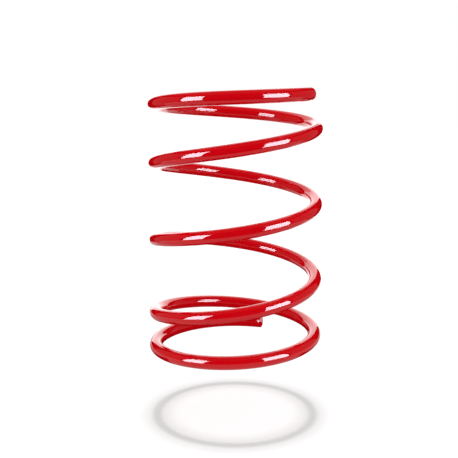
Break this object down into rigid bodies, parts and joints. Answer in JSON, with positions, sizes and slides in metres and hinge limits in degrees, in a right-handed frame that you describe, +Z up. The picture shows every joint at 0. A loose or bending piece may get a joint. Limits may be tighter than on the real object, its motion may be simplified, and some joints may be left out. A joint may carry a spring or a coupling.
{
  "type": "coil spring",
  "caption": "Right-hand wound helical compression spring of round bar for a car's suspension strut, with gently pitched open ends and plain cut wire ends, red powder coat.",
  "frame": {"origin": "on the coil axis, in the plane of the lowest turn's flat underside", "axes": "+Z up along the coil axis; the lower wire end lies 68.6 degrees anticlockwise from +X seen from above"},
  "size_m": [0.1622, 0.1622, 0.2481],
  "materials": {
    "powder_coated_steel": "gloss"
  },
  "bodies": {
    "lower_end": {"lower_end_coil": "powder_coated_steel"},
    "arc_01": {"active_arc_01": "powder_coated_steel"},
    "arc_02": {"active_arc_02": "powder_coated_steel"},
    "arc_03": {"active_arc_03": "powder_coated_steel"},
    "arc_04": {"active_arc_04": "powder_coated_steel"},
    "arc_05": {"active_arc_05": "powder_coated_steel"},
    "arc_06": {"active_arc_06": "powder_coated_steel"},
    "arc_07": {"active_arc_07": "powder_coated_steel"},
    "arc_08": {"active_arc_08": "powder_coated_steel"},
    "arc_09": {"active_arc_09": "powder_coated_steel"},
    "arc_10": {"active_arc_10": "powder_coated_steel"},
    "arc_11": {"active_arc_11": "powder_coated_steel"},
    "arc_12": {"active_arc_12": "powder_coated_steel"},
    "arc_13": {"active_arc_13": "powder_coated_steel"},
    "arc_14": {"active_arc_14": "powder_coated_steel"},
    "upper_end": {"upper_end_coil": "powder_coated_steel"}
  },
  "joints": [
    {"name": "coil_twist_01", "type": "hinge", "parent": "lower_end", "child": "arc_01", "pos_m": [0.02565, -0.07048, 0.01337], "axis": [-0.9051, 0.4238, -0.0346], "range_deg": [0, 0.8982], "stiffness_Nm_per_rad": 1370},
    {"name": "coil_twist_02", "type": "hinge", "parent": "arc_01", "child": "arc_02", "pos_m": [0.07048, 0.02565, 0.01906], "axis": [-0.1354, -0.9905, -0.0223], "range_deg": [0, 3.02], "stiffness_Nm_per_rad": 1370},
    {"name": "coil_twist_03", "type": "hinge", "parent": "arc_02", "child": "arc_03", "pos_m": [-0.02565, 0.07048, 0.02803], "axis": [0.9984, 0.0505, -0.0251], "range_deg": [0, 6.15], "stiffness_Nm_per_rad": 1370},
    {"name": "coil_twist_04", "type": "hinge", "parent": "arc_03", "child": "arc_04", "pos_m": [-0.07048, -0.02565, 0.04132], "axis": [-0.1911, 0.9812, -0.028], "range_deg": [0, 9.23], "stiffness_Nm_per_rad": 1370},
    {"name": "coil_twist_05", "type": "hinge", "parent": "arc_04", "child": "arc_05", "pos_m": [0.02565, -0.07048, 0.05841], "axis": [-0.9455, -0.324, -0.0305], "range_deg": [0, 10.77], "stiffness_Nm_per_rad": 1370},
    {"name": "coil_twist_06", "type": "hinge", "parent": "arc_05", "child": "arc_06", "pos_m": [0.07048, 0.02565, 0.07603], "axis": [0.3422, -0.9383, -0.0498], "range_deg": [0, 10.96], "stiffness_Nm_per_rad": 1370},
    {"name": "coil_twist_07", "type": "hinge", "parent": "arc_06", "child": "arc_07", "pos_m": [-0.02565, 0.07048, 0.09366], "axis": [0.9384, 0.3423, -0.0473], "range_deg": [0, 10.96], "stiffness_Nm_per_rad": 1370},
    {"name": "coil_twist_08", "type": "hinge", "parent": "arc_07", "child": "arc_08", "pos_m": [-0.07048, -0.02565, 0.11128], "axis": [-0.3419, 0.9385, -0.0474], "range_deg": [0, 10.85], "stiffness_Nm_per_rad": 1370},
    {"name": "coil_twist_09", "type": "hinge", "parent": "arc_08", "child": "arc_09", "pos_m": [0.02565, -0.07048, 0.12891], "axis": [-0.9383, -0.3425, -0.0474], "range_deg": [0, 10.96], "stiffness_Nm_per_rad": 1370},
    {"name": "coil_twist_10", "type": "hinge", "parent": "arc_09", "child": "arc_10", "pos_m": [0.07048, 0.02565, 0.14653], "axis": [0.3418, -0.9386, -0.0474], "range_deg": [0, 10.96], "stiffness_Nm_per_rad": 1370},
    {"name": "coil_twist_11", "type": "hinge", "parent": "arc_10", "child": "arc_11", "pos_m": [-0.02565, 0.07048, 0.16416], "axis": [0.9383, 0.3427, -0.0474], "range_deg": [0, 10.96], "stiffness_Nm_per_rad": 1370},
    {"name": "coil_twist_12", "type": "hinge", "parent": "arc_11", "child": "arc_12", "pos_m": [-0.07048, -0.02565, 0.18178], "axis": [-0.3416, 0.9387, -0.0474], "range_deg": [0, 10.96], "stiffness_Nm_per_rad": 1370},
    {"name": "coil_twist_13", "type": "hinge", "parent": "arc_12", "child": "arc_13", "pos_m": [0.02565, -0.07048, 0.19941], "axis": [-0.9105, -0.4125, -0.0294], "range_deg": [0, 10.24], "stiffness_Nm_per_rad": 1370},
    {"name": "coil_twist_14", "type": "hinge", "parent": "arc_13", "child": "arc_14", "pos_m": [0.07048, 0.02565, 0.21502], "axis": [0.5761, -0.8165, -0.0378], "range_deg": [0, 7.69], "stiffness_Nm_per_rad": 1370},
    {"name": "coil_twist_15", "type": "hinge", "parent": "arc_14", "child": "upper_end", "pos_m": [-0.02565, 0.07048, 0.22535], "axis": [0.4186, 0.9064, -0.0571], "range_deg": [0, 3.84], "stiffness_Nm_per_rad": 1370}
  ],
  "couplings": [
    {"joint": "coil_twist_01", "follows": "coil_twist_08", "ratio": 0.08186},
    {"joint": "coil_twist_02", "follows": "coil_twist_08", "ratio": 0.27523},
    {"joint": "coil_twist_03", "follows": "coil_twist_08", "ratio": 0.56065},
    {"joint": "coil_twist_04", "follows": "coil_twist_08", "ratio": 0.84219},
    {"joint": "coil_twist_05", "follows": "coil_twist_08", "ratio": 0.9826},
    {"joint": "coil_twist_06", "follows": "coil_twist_08", "ratio": 0.99989},
    {"joint": "coil_twist_07", "follows": "coil_twist_08", "ratio": 0.99987},
    {"joint": "coil_twist_09", "follows": "coil_twist_08", "ratio": 0.99994},
    {"joint": "coil_twist_10", "follows": "coil_twist_08", "ratio": 1},
    {"joint": "coil_twist_11", "follows": "coil_twist_08", "ratio": 0.99987},
    {"joint": "coil_twist_12", "follows": "coil_twist_08", "ratio": 1},
    {"joint": "coil_twist_13", "follows": "coil_twist_08", "ratio": 0.93409},
    {"joint": "coil_twist_14", "follows": "coil_twist_08", "ratio": 0.70176},
    {"joint": "coil_twist_15", "follows": "coil_twist_08", "ratio": 0.35062}
  ]
}
